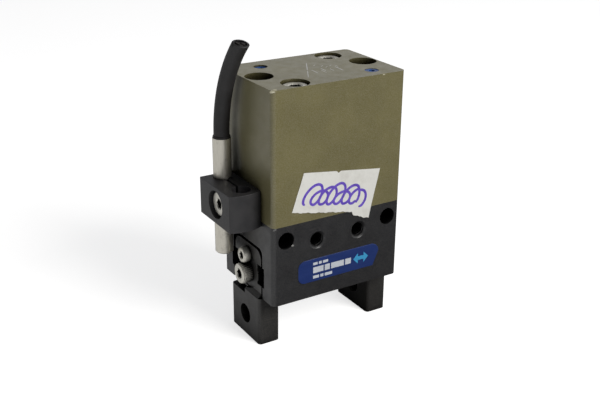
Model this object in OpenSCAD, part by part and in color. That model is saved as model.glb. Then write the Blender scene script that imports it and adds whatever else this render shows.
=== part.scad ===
// Two-finger parallel pneumatic gripper, opened by a spring and closed by air.
// Origin: centre of the top mounting face. +Z points away from the fingers,
// the two jaws slide along X, and the labelled front looks towards -Y.
// The model is drawn with the jaws open, which is where the spring holds them.

/* [Body] */
// Width of the body along the jaw stroke
body_w = 32; // [31:0.5:36]
// Depth of the body, front to back
body_d = 22; // [21.5:0.5:26]
// Height of the cylinder housing
housing_h = 29; // [29:0.5:34]
// Height of the guide base
base_h = 18; // [18:0.5:20]
// Radius of the four upright corners
corner_r = 1.1; // [0.6:0.1:1.6]

/* [Drive] */
// Radius of the cylinder bore
bore_r = 8; // [7.6:0.1:8]
// Travel of the piston
piston_stroke = 6.9; // [5:0.1:6.9]
// Angle between the wedge flanks and the piston axis
wedge_angle = 30; // [26:1:30]
// Radius of the piston rod
rod_r = 2; // [1.8:0.1:2.2]

/* [Fingers] */
// Half the distance between the outer faces of the open finger blocks
finger_out = 16.8; // [16.4:0.1:17]
// Thickness of a finger block along the stroke
finger_t = 5.1; // [4.4:0.1:5.2]
// Width of a finger block
finger_w = 12.6; // [10:0.2:12.8]
// Distance from the body's underside to the finger ends
finger_drop = 11.3; // [9:0.1:14]
// Radius of the hole through a finger block
finger_hole_r = 2.2; // [1.5:0.1:2.2]

/* [Sensor] */
// Radius of the sensor barrel
sensor_r = 1.98; // [1.9:0.01:1.98]
// Length of the sensor barrel
sensor_len = 26.2; // [24:0.1:30]
// Bend radius of the cable stub
cable_bend_r = 31.3; // [25:0.1:40]

/* [Hidden] */
$fn = 64;
// overshoot of a cutter past the face it opens
eps = 0.1;
// gap between pieces that sit together without moving
snug = 0.01;

// planes along Z
seam_z = -housing_h;
base_z = -housing_h - base_h;
roof_z = -4.6;
cover_top_z = seam_z + 3.4;
channel_top_z = seam_z - 6.5;
finger_z = base_z - finger_drop;

// mounting holes and joint screws in the top face
top_hole_x = 12.75;
top_hole_r = 1.65;
top_seat_r = 3;
top_seat_depth = 2;
top_hole_depth = 10;
screw_x = 8.9;
screw_y = 7.8;
screw_recess = 0.55;
plug_places = [[9.9, -7.35], [-8.7, 6.65]];
plug_recesses = [0.08, 0.35];
plug_r = 1.5;
plug_len = 2.4;
duct_r = 0.8;

// main air ports in the back face
port_x = 6;
port_r = 1.25;
port_depth = 3.5;
port_open_z = -8;
port_close_z = cover_top_z + 0.55;
orifice_r = 0.5;

// holes in the front of the guide base
side_hole_x = 12.8;
side_hole_r = 1.9;
side_hole_z = seam_z - 3.3;
front_thread_x = 5.2;
front_thread_r = 1.65;
front_thread_z = seam_z - 4.8;
front_thread_depth = 4.4;

// jaw channel and its cross-roller guides
channel_w = 13;
channel_r = 1.4;
rail_z = seam_z - 13;
rail_h = 4;
rail_face_y = 5.5;
rail_back_y = 8;
rail_len = body_w - 3;
rail_mouth_y = 7.2;
roller_y = 5.3;
roller_r = 0.98;
roller_len = 1.9;
roller_pitch = 2.55;
roller_count = 3;
roller_first_x = 7.3;
vee_half = 1;
cage_t = 0.3;
cage_h = 3.3;
cage_lap = 1.3;

// wedge hook and the inclined tongues that ride in it
wedge_top_z = seam_z - 7;
wedge_bottom_z = base_z + 1.6;
wedge_half_w = 4.6;
wedge_foot_x = 3.3;
wedge_slope = tan(wedge_angle);
wedge_head_x = wedge_foot_x + (wedge_top_z - wedge_bottom_z) * wedge_slope;
lip_t = 1.1;
tee_t = 1.3;
tee_half_w = 3.4;
neck_half_w = 1.7;
tee_play = 0.05;
jaw_stroke = piston_stroke * wedge_slope;
pocket_x = wedge_head_x + 0.4;
pocket_y = wedge_half_w + 0.3;

// base jaws
jaw_out = body_w / 2 - 0.1;
jaw_top_z = channel_top_z - 0.75;
jaw_bottom_z = base_z + 0.1;
jaw_half_w = 5.75;
jaw_corner_r = 2.2;
jaw_inner_x = jaw_stroke + 0.3;
jaw_slit = 0.3;
notch_half_h = rail_h / 2 + 0.3;
end_screw_z = seam_z - 9.9;
cam_screw_z = seam_z - 14.2;
end_seat_z = seam_z - 13.6;
end_seat_r = 4.2;
end_seat_depth = 0.2;
end_pocket_y = 4.05;
end_pocket_len = 1.6;
end_pocket_low_z = seam_z - 15.4;
relief_y = 0.1;
relief_depth = 1;
relief_low_z = base_z - 1.25;

// cover under the wedge
plate_t = 1.2;
plate_x = 7.2;
plate_y = 9.8;
plate_z = base_z + 0.05;
plate_screw_x = 5;
plate_screw_y = 8.3;
plate_thread = 1.8;

// piston group
piston_r = bore_r - 0.05;
piston_foot_z = cover_top_z + 0.05;
piston_skirt_z = piston_foot_z + 1;
piston_top_z = piston_skirt_z + 4.8;
spring_seat_z = piston_top_z - 1.6;
spring_wire_r = 0.6;
spring_r = 5.2;
spring_turns = 6.5;
dead_turns = 0.9;

// sensor bracket and sensor
bracket_out = body_w / 2 + 7.3;
bracket_top_z = seam_z + 6.9;
bracket_bottom_z = seam_z - 1.2;
bracket_front_y = -6.1;
bracket_back_y = 7.3;
bracket_bulge = 0.9;
clamp_x = body_w / 2 + 3.1;
clamp_r = 2;
sensor_y = 4.9;
spare_y = -3.6;
clamp_slit = 0.5;
bracket_screw_y = 0.2;
bracket_screw_z = seam_z + 3;
bracket_seat_depth = 2.5;
bracket_head_h = 1.7;
sensor_tip_z = seam_z - 10.5;
sensor_top_z = sensor_tip_z + sensor_len;
cable_r = 1.7;
collar_r = 1.9;
collar_h = 0.35;
cable_turn = 41.5;
cable_lead = 0.5;
cable_lean = -84;
cut_tilt = 14;
core_r = 0.4;
core_spread = 0.62;

// ---- shared shapes ----

// Box centred in X and Y, standing on z0, with rounded upright corners
module pillar(w, d, z0, z1, r) {
    translate([0, 0, z0]) {
        translate([-w / 2 + r, -d / 2, 0]) cube([w - 2 * r, d, z1 - z0]);
        translate([-w / 2, -d / 2 + r, 0]) cube([w, d - 2 * r, z1 - z0]);
        for (x = [-1, 1], y = [-1, 1])
            translate([x * (w / 2 - r), y * (d / 2 - r), 0]) cylinder(r = r, h = z1 - z0);
    }
}

// Upright cylinder from z0 to z1
module rod(r, z0, z1) {
    translate([0, 0, z0]) cylinder(r = r, h = z1 - z0);
}

// Ring from z0 to z1
module ring(r_in, r_out, z0, z1) {
    difference() {
        rod(r_out, z0, z1);
        rod(r_in, z0 - eps, z1 + eps);
    }
}

// Box given by its two opposite corners
module block(a, b) {
    translate(a) cube(b - a);
}

// Cylinder along +Y from y0 to y1
module bar_y(r, x, z, y0, y1) {
    translate([x, y0, z]) rotate([-90, 0, 0]) cylinder(r = r, h = y1 - y0);
}

// Cap screw along -Z: its bearing face is at z = 0 and its head stands above
module cap_screw(thread_r, head_r, head_h, len, socket_af) {
    socket_r = socket_af / sqrt(3);
    difference() {
        union() {
            cylinder(r = head_r, h = head_h - 0.3);
            translate([0, 0, head_h - 0.3]) cylinder(r1 = head_r, r2 = head_r - 0.3, h = 0.3);
            translate([0, 0, -len]) cylinder(r = thread_r, h = len + eps);
        }
        translate([0, 0, head_h * 0.45]) cylinder(r = socket_r, h = head_h, $fn = 6);
    }
}

// O-ring lying in the XY plane
module o_ring(r, wire_r, z) {
    translate([0, 0, z]) rotate_extrude() translate([r, 0]) circle(r = wire_r);
}

// ---- housing ----

module cylinder_housing() {
    color("#6b664a") difference() {
        pillar(body_w, body_d, seam_z, 0, corner_r);
        rod(bore_r, seam_z - eps, roof_z);
        // mounting threads with a wider seat for a locating sleeve
        for (x = [-top_hole_x, top_hole_x]) translate([x, 0, 0]) {
            rod(top_hole_r, -top_hole_depth, eps);
            rod(top_seat_r, -top_seat_depth, eps);
        }
        // the two screws that hold the housing on the base
        for (s = [-1, 1]) translate([s * screw_x, s * screw_y, 0]) {
            rod(1.6, seam_z - eps, eps);
            rod(3, -3 - screw_recess, eps);
        }
        // hose-free air connections: an upright duct and a cross duct to the bore
        for (p = plug_places) translate(p) rod(plug_r, -plug_len - max(plug_recesses) - 0.4, eps);
        air_duct(plug_places[0], port_close_z, orifice_r);
        air_duct(plug_places[1], port_open_z, duct_r);
        // main ports in the back
        air_port(-port_x, port_open_z, duct_r);
        air_port(port_x, port_close_z, orifice_r);
        // dowel holes in the seam
        for (s = [-1, 1]) translate([-s * screw_x, s * screw_y, 0]) rod(1 + snug, seam_z - eps, seam_z + 2.6);
        // thread for the bracket screw
        translate([-body_w / 2 - eps, bracket_screw_y, bracket_screw_z])
            rotate([0, 90, 0]) cylinder(r = 1.5 + snug, h = 6.5);
    }
}

// Upright duct under a plug down to z, and a cross duct of radius r along X to the cylinder bore
module air_duct(place, z, r) {
    translate(place) rod(duct_r, z, 0);
    translate([min(0, place[0]), place[1], z]) rotate([0, 90, 0]) cylinder(r = r, h = abs(place[0]));
}

// Threaded port in the back face with an orifice into the bore
module air_port(x, z, r) {
    bar_y(port_r, x, z, body_d / 2 - port_depth, body_d / 2 + eps);
    bar_y(r, x, z, 0, body_d / 2);
}

module guide_base() {
    color("#2b2b2e") difference() {
        pillar(body_w, body_d, base_z, seam_z, corner_r);
        jaw_channel();
        // pocket that the wedge rises into
        block([-pocket_x, -pocket_y, channel_top_z - eps], [pocket_x, pocket_y, seam_z + eps]);
        // seats of the two guide rails
        for (s = [-1, 1]) translate([0, s * (channel_w / 4 + rail_back_y / 2 - eps), rail_z])
            cube([rail_len + 2 * snug, rail_back_y - channel_w / 2 + 2 * eps, rail_h + 2 * snug],
                 center = true);
        // mouths at the ends of those seats
        for (s = [-1, 1], x = [-1, 1])
            translate([x * (rail_len / 2 + body_w / 4), s * rail_mouth_y / 2, rail_z])
            cube([body_w / 2, rail_mouth_y, 2 * notch_half_h], center = true);
        // holes through the web for fixing from the side
        for (x = [-side_hole_x, side_hole_x])
            bar_y(side_hole_r, x, side_hole_z, -body_d / 2 - eps, body_d / 2 + eps);
        // blind threads in the front
        for (x = [-front_thread_x, front_thread_x]) {
            bar_y(front_thread_r, x, front_thread_z, -body_d / 2 - eps, -body_d / 2 + front_thread_depth);
            translate([x, -body_d / 2 - eps, front_thread_z]) rotate([-90, 0, 0])
                cylinder(r1 = front_thread_r + 0.45, r2 = front_thread_r - 0.05, h = 0.5);
        }
        // threads for the housing screws and holes for the dowels
        for (s = [-1, 1]) {
            translate([s * screw_x, s * screw_y, 0]) rod(1.5 + snug, seam_z - 5.2, seam_z + eps);
            translate([-s * screw_x, s * screw_y, 0]) rod(1 + snug, seam_z - 3.2, seam_z + eps);
        }
        // threads for the rail preload screws
        for (x = [-10, 0, 10]) bar_y(1.25 + snug, x, rail_z, channel_w / 2, body_d / 2 + eps);
        // recess and threads of the bottom cover
        block([-plate_x - snug, -plate_y - snug, base_z - eps],
              [plate_x + snug, plate_y + snug, plate_z + plate_t]);
        for (x = [-1, 1], y = [-1, 1])
            translate([x * plate_screw_x, y * plate_screw_y, 0])
                rod(0.8 + snug, plate_z, plate_z + plate_t + plate_thread);
    }
}

// Through slot for the jaws: open below, with rounded upper corners
module jaw_channel() {
    half = channel_w / 2;
    block([-body_w, -half, base_z - eps], [body_w, half, channel_top_z - channel_r]);
    block([-body_w, -half + channel_r, base_z - eps], [body_w, half - channel_r, channel_top_z]);
    for (s = [-1, 1]) translate([-body_w, s * (half - channel_r), channel_top_z - channel_r])
        rotate([0, 90, 0]) cylinder(r = channel_r, h = 2 * body_w);
}

module cylinder_cover() {
    color("#9a9a94") difference() {
        rod(bore_r - snug, seam_z, cover_top_z);
        rod(2.9 + snug, seam_z - eps, cover_top_z + eps);
        rod(3.6 + snug, seam_z - eps, cover_top_z - 1.8);
        ring(6.85, bore_r + 1, seam_z + 1.1, seam_z + 2.4);
    }
}

module cover_seal() {
    color("#1a1a1a") o_ring(7.42, 0.55, seam_z + 1.75);
}

module rod_bush() {
    color("#a9814a") ring(rod_r + 0.03, 2.9, cover_top_z - 1.8, cover_top_z);
}

module rod_seal() {
    color("#1a1a1a") ring(rod_r + 0.01, 3.6, seam_z + 0.5, cover_top_z - 1.8 - snug);
}

module seal_retainer() {
    color("silver") ring(rod_r + 0.25, 3.6, seam_z, seam_z + 0.5 - snug);
}

module housing_screws() {
    color("silver") for (s = [-1, 1]) translate([s * screw_x, s * screw_y, -3 - screw_recess])
        cap_screw(1.5, 2.75, 3, 30, 2.5);
}

module dowel_pins() {
    color("silver") for (s = [-1, 1]) translate([-s * screw_x, s * screw_y, 0])
        rod(1, seam_z - 3, seam_z + 2.4);
}

module port_plugs() {
    color("#2f5fa8") for (i = [0, 1]) translate(plug_places[i]) difference() {
        rod(plug_r - snug, -plug_len - plug_recesses[i], -plug_recesses[i]);
        translate([0, 0, -plug_recesses[i] - 1.2]) cylinder(r = 0.75, h = 2, $fn = 6);
    }
}

// ---- cross-roller guides ----

// Square channel standing on its edge, along X, where the rollers run
module vee(x0, x1, s) {
    translate([x0, s * roller_y, rail_z]) rotate([45, 0, 0])
        translate([0, -vee_half, -vee_half]) cube([x1 - x0, 2 * vee_half, 2 * vee_half]);
}

module guide_rail(s) {
    y0 = min(s * rail_face_y, s * rail_back_y);
    color("#8c8c88") difference() {
        block([-rail_len / 2, y0, rail_z - rail_h / 2],
              [rail_len / 2, y0 + rail_back_y - rail_face_y, rail_z + rail_h / 2]);
        vee(-rail_len, rail_len, s);
    }
}

module preload_screws() {
    color("#3a3a3c") for (x = [-10, 0, 10]) difference() {
        bar_y(1.25, x, rail_z, rail_back_y + snug, body_d / 2 - 0.3);
        translate([x, body_d / 2 - 1.3, rail_z]) rotate([-90, 0, 0]) cylinder(r = 0.72, h = 2, $fn = 6);
    }
}

// One roller of radius r: neighbours lie crosswise to each other
module roller(x, s, tilt, r, len) {
    translate([x, s * roller_y, rail_z]) rotate([tilt, 0, 0]) cylinder(r = r, h = len, center = true);
}

module roller_rows(r, len) {
    for (s = [-1, 1], i = [0:roller_count - 1])
        roller(roller_first_x + i * roller_pitch, s, i % 2 == 0 ? 45 : -45, r, len);
}

module roller_cages() {
    cage_x0 = roller_first_x - cage_lap;
    cage_x1 = roller_first_x + (roller_count - 1) * roller_pitch + cage_lap;
    color("#b08d57") difference() {
        for (s = [-1, 1])
            block([cage_x0, s * roller_y - cage_t / 2, rail_z - cage_h / 2],
                  [cage_x1, s * roller_y + cage_t / 2, rail_z + cage_h / 2]);
        roller_rows(roller_r + 0.03, roller_len + 0.06);
    }
}

module rollers() {
    color("silver") roller_rows(roller_r, roller_len);
}

module bottom_cover() {
    color("#3a3a3c") difference() {
        block([-plate_x, -plate_y, plate_z], [plate_x, plate_y, plate_z + plate_t - snug]);
        for (x = [-1, 1], y = [-1, 1]) translate([x * plate_screw_x, y * plate_screw_y, plate_z - eps]) {
            cylinder(r = 0.8 + snug, h = plate_t + 1);
            cylinder(r = 1.31, h = eps + 0.7);
        }
    }
}

module bottom_cover_screws() {
    color("silver") for (x = [-1, 1], y = [-1, 1])
        translate([x * plate_screw_x, y * plate_screw_y, plate_z + 0.7])
            mirror([0, 0, 1]) cap_screw(0.8, 1.3, 0.65, 2.2, 0.9);
}

// ---- spring, piston and wedge ----

function spring_len() = roof_z - spring_seat_z - 2 * spring_wire_r;
// share of the height reached after t turns: closed coils at both ends
function coil_z(t) =
    let (closed = 2 * spring_wire_r * dead_turns,
         open_turns = spring_turns - 2 * dead_turns)
    t < dead_turns ? t * 2 * spring_wire_r
    : t > spring_turns - dead_turns ? spring_len() - (spring_turns - t) * 2 * spring_wire_r
    : closed + (t - dead_turns) / open_turns * (spring_len() - 2 * closed);

module opening_spring() {
    steps = 26;
    sides = 10;
    wire_r = spring_wire_r - 0.02;
    count = round(steps * spring_turns);
    points = [for (i = [0:count], j = [0:sides - 1])
        let (a = 360 * i / steps, b = 360 * j / sides, r = spring_r + wire_r * cos(b))
        [r * cos(a), r * sin(a), spring_seat_z + spring_wire_r + coil_z(i / steps) + wire_r * sin(b)]];
    walls = [for (i = [0:count - 1], j = [0:sides - 1])
        let (k = (j + 1) % sides)
        [i * sides + j, i * sides + k, (i + 1) * sides + k, (i + 1) * sides + j]];
    start_cap = [[for (j = [sides - 1:-1:0]) j]];
    end_cap = [[for (j = [0:sides - 1]) count * sides + j]];
    color("#8f9296") polyhedron(points = points, faces = concat(walls, start_cap, end_cap), convexity = 8);
}

module piston() {
    color("#b9b9b4") difference() {
        union() {
            rod(5, piston_foot_z, piston_skirt_z + eps);
            rod(piston_r, piston_skirt_z, piston_top_z);
        }
        rod(1.5 + snug, piston_foot_z - eps, piston_top_z + eps);
        rod(spring_r + 1.1, spring_seat_z, piston_top_z + eps);
        ring(6.5, piston_r + 1, piston_skirt_z + 0.7, piston_skirt_z + 2.1);
        ring(7.15, piston_r + 1, piston_skirt_z + 2.9, piston_skirt_z + 4.3);
    }
}

module piston_seal() {
    color("#1a1a1a") o_ring(7.28, 0.66, piston_skirt_z + 1.4);
}

module piston_band() {
    color("#d8d2c0") ring(7.15 + snug, bore_r - 0.02, piston_skirt_z + 2.95, piston_skirt_z + 4.25);
}

module piston_rod() {
    color("silver") {
        rod(1.5, spring_seat_z - 4.3, spring_seat_z + 2.9);
        rod(rod_r, wedge_top_z + snug, piston_foot_z - snug);
        rod(1.5, wedge_top_z - 4, wedge_top_z + eps);
    }
}

module piston_nut() {
    color("silver") translate([0, 0, spring_seat_z]) difference() {
        cylinder(r = 5.5 / sqrt(3), h = 2.4, $fn = 6);
        translate([0, 0, -eps]) cylinder(r = 1.5 + snug, h = 3);
    }
}

// T-shaped bar that leans outwards with the wedge flank.
// It starts inside the flank and its neck runs out to reach.
module tee_bar(play, reach) {
    lean = cos(wedge_angle);
    run = wedge_top_z - wedge_bottom_z;
    translate([wedge_foot_x, 0, wedge_bottom_z]) rotate([0, wedge_angle, 0]) {
        translate([-(lip_t + tee_t) * lean - play, -tee_half_w - play, -run])
            cube([tee_t * lean + 2 * play, 2 * (tee_half_w + play), 4 * run]);
        translate([-(lip_t + tee_t / 2) * lean, -neck_half_w - play, -run])
            cube([(lip_t + tee_t / 2) * lean + reach, 2 * (neck_half_w + play), 4 * run]);
    }
}

module wedge_hook() {
    color("#77777a") difference() {
        translate([0, wedge_half_w, 0]) rotate([90, 0, 0]) linear_extrude(height = 2 * wedge_half_w)
            polygon([[-wedge_foot_x, wedge_bottom_z], [wedge_foot_x, wedge_bottom_z],
                     [wedge_head_x, wedge_top_z], [-wedge_head_x, wedge_top_z]]);
        for (s = [0, 1]) mirror([s, 0, 0]) tee_bar(tee_play, 1);
        rod(1.5 + snug, wedge_top_z - 4.3, wedge_top_z + eps);
    }
}

// ---- jaws, drawn on the right (+X) ----

// Side view of the jaw: its inner end follows the wedge flank
module jaw_profile() {
    flank_x = wedge_head_x + jaw_slit;
    foot_z = jaw_top_z - (flank_x - jaw_inner_x) / wedge_slope;
    lip_z = plate_z + plate_t + 0.2;
    lip_x = plate_x + jaw_stroke + 0.4;
    polygon([[flank_x, jaw_top_z], [jaw_out, jaw_top_z], [jaw_out, jaw_bottom_z],
             [lip_x, jaw_bottom_z], [lip_x, lip_z], [jaw_inner_x, lip_z],
             [jaw_inner_x, max(foot_z, lip_z + 0.2)]]);
}

module jaw() {
    half = finger_w / 2;
    block_top_z = base_z - 0.15;
    tongue_low_z = wedge_bottom_z + (jaw_stroke + 0.15 - wedge_foot_x + lip_t + tee_t) / wedge_slope;
    difference() {
        union() {
            // carriage in the channel, with the upper corners of the channel
            intersection() {
                translate([0, jaw_half_w, 0]) rotate([90, 0, 0])
                    linear_extrude(height = 2 * jaw_half_w) jaw_profile();
                union() {
                    block([0, -jaw_half_w, base_z], [body_w, jaw_half_w, jaw_top_z - jaw_corner_r]);
                    block([0, -jaw_half_w + jaw_corner_r, base_z],
                          [body_w, jaw_half_w - jaw_corner_r, jaw_top_z]);
                    for (s = [-1, 1])
                        translate([0, s * (jaw_half_w - jaw_corner_r), jaw_top_z - jaw_corner_r])
                        rotate([0, 90, 0]) cylinder(r = jaw_corner_r, h = body_w);
                }
            }
            // inclined tongue that the wedge hook holds
            intersection() {
                tee_bar(0, 1.5);
                block([0, -half, tongue_low_z], [body_w, half, jaw_top_z]);
            }
            // neck and finger block
            block([finger_out - finger_t + 0.6, -half + 0.6, block_top_z - 1],
                  [jaw_out, half - 0.6, jaw_bottom_z + 1]);
            translate([finger_out - finger_t / 2, 0, 0])
                pillar(finger_t, finger_w, finger_z, block_top_z, 0.8);
            // slope from the end face to the front half of the block
            translate([0, relief_y, 0]) rotate([90, 0, 0])
                linear_extrude(height = relief_y + jaw_half_w - 0.05)
                polygon([[jaw_out - 0.5, block_top_z - 0.1], [finger_out - 0.12, block_top_z - 0.1],
                         [finger_out - 0.12, block_top_z + 0.05], [jaw_out, base_z + 0.8],
                         [jaw_out - 0.5, base_z + 0.8]]);
        }
        // side notches for the guide rails, and the grooves of the rollers
        for (s = [-1, 1]) {
            y0 = min(s * (roller_y - 0.2), s * (jaw_half_w + 1));
            block([0, y0, rail_z - notch_half_h],
                  [body_w, y0 + jaw_half_w + 1.2 - roller_y, rail_z + notch_half_h]);
            vee(0, body_w, s);
            pocket_y0 = min(s * end_pocket_y, s * (jaw_half_w + 1));
            block([jaw_out - end_pocket_len, pocket_y0, end_pocket_low_z],
                  [body_w, pocket_y0 + jaw_half_w + 1 - end_pocket_y, rail_z + notch_half_h]);
        }
        // relief over the rear half of the finger block
        block([jaw_out - relief_depth, relief_y, relief_low_z], [body_w, half + 1, base_z - 0.05]);
        // hole that fixes a gripper finger
        translate([finger_out - finger_t - 1, 0, finger_z + 5]) rotate([0, 90, 0])
            cylinder(r = finger_hole_r, h = finger_t + 2);
        // threads and turned seat of the two screws in the end face
        end_thread(end_screw_z, 1, 5.3);
        end_thread(cam_screw_z, 1.25, 6.3);
        translate([jaw_out - end_seat_depth, 0, end_seat_z]) rotate([0, 90, 0])
            cylinder(r = end_seat_r, h = 1);
    }
}

// Thread of radius r and length len from the jaw's end face
module end_thread(z, r, len) {
    translate([jaw_out - len, 0, z]) rotate([0, 90, 0]) cylinder(r = r + snug, h = len + eps);
}

module jaw_end_screw() {
    color("silver") translate([jaw_out + snug, 0, end_screw_z]) rotate([0, 90, 0])
        cap_screw(1, 1.75, 1.7, 5, 1.5);
}

module cam_screw() {
    color("silver") translate([jaw_out - end_seat_depth + snug, 0, cam_screw_z]) rotate([0, 90, 0])
        cap_screw(1.25, 2.3, 2.5, 5.9, 2);
}

module on_left() {
    mirror([1, 0, 0]) children();
}

// ---- sensor on the left end ----

// Straight block whose front end bulges as a flat arc
module bracket_plan() {
    w = bracket_out - body_w / 2;
    arc_r = (w * w / 4 + bracket_bulge * bracket_bulge) / (2 * bracket_bulge);
    arc_x = -(bracket_out + body_w / 2) / 2;
    block([-bracket_out, bracket_front_y, bracket_bottom_z], [-body_w / 2, bracket_back_y, bracket_top_z]);
    intersection() {
        block([-bracket_out, bracket_front_y - 2, bracket_bottom_z],
              [-body_w / 2, bracket_front_y + 2, bracket_top_z]);
        translate([arc_x, bracket_front_y - bracket_bulge + arc_r, 0])
            rod(arc_r, bracket_bottom_z, bracket_top_z);
    }
}

module sensor_bracket() {
    color("#262628") difference() {
        bracket_plan();
        for (y = [sensor_y, spare_y])
            translate([-clamp_x, y, 0]) rod(clamp_r, bracket_bottom_z - eps, bracket_top_z + eps);
        // slit that lets the screw draw both clamps together, open at the back
        block([-clamp_x - clamp_slit / 2, spare_y, bracket_bottom_z - eps],
              [-clamp_x + clamp_slit / 2, bracket_back_y + eps, bracket_top_z + eps]);
        translate([-bracket_out - eps, bracket_screw_y, bracket_screw_z]) rotate([0, 90, 0]) {
            cylinder(r = 1.6, h = 10);
            cylinder(r = 3.05, h = bracket_seat_depth + eps);
        }
    }
}

module bracket_screw() {
    color("silver") translate([-bracket_out + bracket_seat_depth, bracket_screw_y, bracket_screw_z])
        rotate([0, -90, 0]) cap_screw(1.5, 2.75, bracket_head_h, 9.3, 2);
}

module proximity_sensor() {
    color("#b4b2a5") translate([-clamp_x, sensor_y, 0]) difference() {
        union() {
            rod(sensor_r, sensor_tip_z + 0.3, sensor_top_z);
            translate([0, 0, sensor_tip_z]) cylinder(r1 = sensor_r - 0.3, r2 = sensor_r, h = 0.3);
        }
        rod(1.5 + snug, sensor_tip_z - eps, sensor_tip_z + 0.8);
        rod(1.5, sensor_top_z - 2, sensor_top_z + eps);
    }
}

module sensor_face() {
    color("#303236") translate([-clamp_x, sensor_y, 0])
        rod(1.5, sensor_tip_z + 0.1, sensor_tip_z + 0.8 - snug);
}

// Moves to the top of the sensor and turns +X towards the side that the cable leans to
module at_cable() {
    translate([-clamp_x, sensor_y, sensor_top_z + snug]) rotate(cable_lean) children();
}

// Torus sector that follows the cable's bend from one angle to another.
// (across, along) shifts it off the cable's centre line.
module cable_bend(r, from, to, across, along) {
    at_cable() translate([cable_bend_r, 0, cable_lead]) rotate([90, 0, 0]) rotate([0, 0, 180 - to])
        rotate_extrude(angle = to - from) translate([cable_bend_r - along, across]) circle(r = r);
}

// Everything past the plane in which the cable is cut off
module cable_offcut() {
    at_cable()
        translate([cable_bend_r * (1 - cos(cable_turn)), 0, cable_lead + cable_bend_r * sin(cable_turn)])
        rotate([0, cut_tilt, 0]) translate([-8, -8, 0]) cube([16, 16, 16]);
}

// The three conductors sit on a circle round the cable's centre
function core_places() = [for (a = [90, 210, 330]) [core_spread * cos(a), core_spread * sin(a)]];

module cable_core(r, from) {
    for (c = core_places()) cable_bend(r, from, cable_turn + 6, c[0], c[1]);
}

module sensor_cable() {
    color("#1c1c1d") difference() {
        union() {
            cable_bend(cable_r, -0.4, cable_turn + 6, 0, 0);
            at_cable() rod(cable_r + 0.05, collar_h / 2, cable_lead);
            at_cable() rod(collar_r, 0, collar_h);
            at_cable() rod(1.49, -1.9, collar_h);
        }
        cable_offcut();
        cable_core(core_r + snug, cable_turn - 8);
    }
}

module cable_cores() {
    color("#7a5c3a") difference() {
        cable_core(core_r, cable_turn - 7.95);
        cable_offcut();
    }
}

// ---- labels on the front ----

// Thin plate on the front face from an outline in X and Z
module front_plate(t) {
    translate([0, -body_d / 2, 0]) rotate([90, 0, 0]) linear_extrude(height = t) children();
}

// Points of a quarter arc that starts at an angle and turns anticlockwise
function quarter(x, z, r, start) = [for (a = [start : 10 : start + 90]) [x + r * cos(a), z + r * sin(a)]];

module type_label() {
    left = -9.9;
    top = seam_z - 9;
    low = seam_z - 14.3;
    corner_r = 1.6;
    color("#26427a") front_plate(0.2)
        polygon(concat(quarter(left + corner_r, top - corner_r, corner_r, 90),
                       quarter(left + corner_r, low + corner_r, corner_r, 180),
                       [[9.3, low], [10.75, top - 1.85], [10.55, top - 1.1], [10, top - 0.4], [9.1, top]]));
}

module inventory_sticker() {
    color("#d8d7cc") front_plate(0.12) translate([0, seam_z])
        polygon([[-8.7, 10.9], [10.3, 8.4], [7.65, -2.4], [6.2, -2.2], [5.6, -1.6], [3.6, -1.1],
                 [3.3, -0.15], [-11.5, 2.7]]);
}

cylinder_housing();
guide_base();
cylinder_cover();
cover_seal();
rod_bush();
rod_seal();
seal_retainer();
housing_screws();
dowel_pins();
port_plugs();
guide_rail(-1);  // guide_rail_front
guide_rail(1);  // guide_rail_rear
preload_screws();
bottom_cover();
bottom_cover_screws();
opening_spring();
piston();
piston_seal();
piston_band();
piston_rod();
piston_nut();
wedge_hook();
color("#3b3b3f") on_left() jaw();  // jaw_left
color("#3b3b3f") jaw();  // jaw_right
on_left() jaw_end_screw();  // jaw_end_screw_left
jaw_end_screw();  // jaw_end_screw_right
on_left() cam_screw();  // cam_screw_left
cam_screw();  // cam_screw_right
on_left() roller_cages();  // roller_cages_left
roller_cages();  // roller_cages_right
on_left() rollers();  // rollers_left
rollers();  // rollers_right
sensor_bracket();
bracket_screw();
proximity_sensor();
sensor_face();
sensor_cable();
cable_cores();
type_label();
inventory_sticker();
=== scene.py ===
"""Looks of a two-finger pneumatic gripper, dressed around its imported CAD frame.

The frame's origin is the centre of the top mounting face, +Z points away from the fingers, the jaws slide
along X and the labelled front looks towards -Y. Blender works in metres; sizes here are in millimetres and
pass through mm() or MM.
"""

import math

import bpy
from mathutils import Matrix, Vector


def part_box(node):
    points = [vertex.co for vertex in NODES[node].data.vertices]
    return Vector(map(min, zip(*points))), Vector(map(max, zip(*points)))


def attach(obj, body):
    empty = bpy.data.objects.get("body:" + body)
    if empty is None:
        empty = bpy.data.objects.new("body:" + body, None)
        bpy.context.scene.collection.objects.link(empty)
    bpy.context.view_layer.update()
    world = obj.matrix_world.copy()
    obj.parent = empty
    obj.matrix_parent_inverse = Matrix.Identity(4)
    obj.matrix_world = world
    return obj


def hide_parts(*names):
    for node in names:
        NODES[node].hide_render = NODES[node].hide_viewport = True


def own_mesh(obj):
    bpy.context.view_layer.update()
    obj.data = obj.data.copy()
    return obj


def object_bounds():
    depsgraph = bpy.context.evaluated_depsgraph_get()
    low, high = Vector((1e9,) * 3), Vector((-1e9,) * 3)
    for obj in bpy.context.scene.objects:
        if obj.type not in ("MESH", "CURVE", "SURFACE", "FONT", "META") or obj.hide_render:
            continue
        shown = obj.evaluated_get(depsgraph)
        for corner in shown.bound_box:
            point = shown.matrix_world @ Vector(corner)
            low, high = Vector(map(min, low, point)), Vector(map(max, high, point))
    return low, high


MM = 0.001
UP = Vector((0, 0, 1))
FRONT = Vector((0, -1, 0))

# sizes in millimetres that the frame's boxes don't hold
CABLE_BEND_R = 31.3
CABLE_LEAN = math.radians(-84)
CABLE_TURN = math.radians(41.5)
CABLE_CUT_TILT = math.radians(14)
CABLE_LEAD = 0.5
SPRING_TURNS = 6.5
SPRING_DEAD_TURNS = 0.9
SPRING_WIRE_R = 0.58


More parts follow.
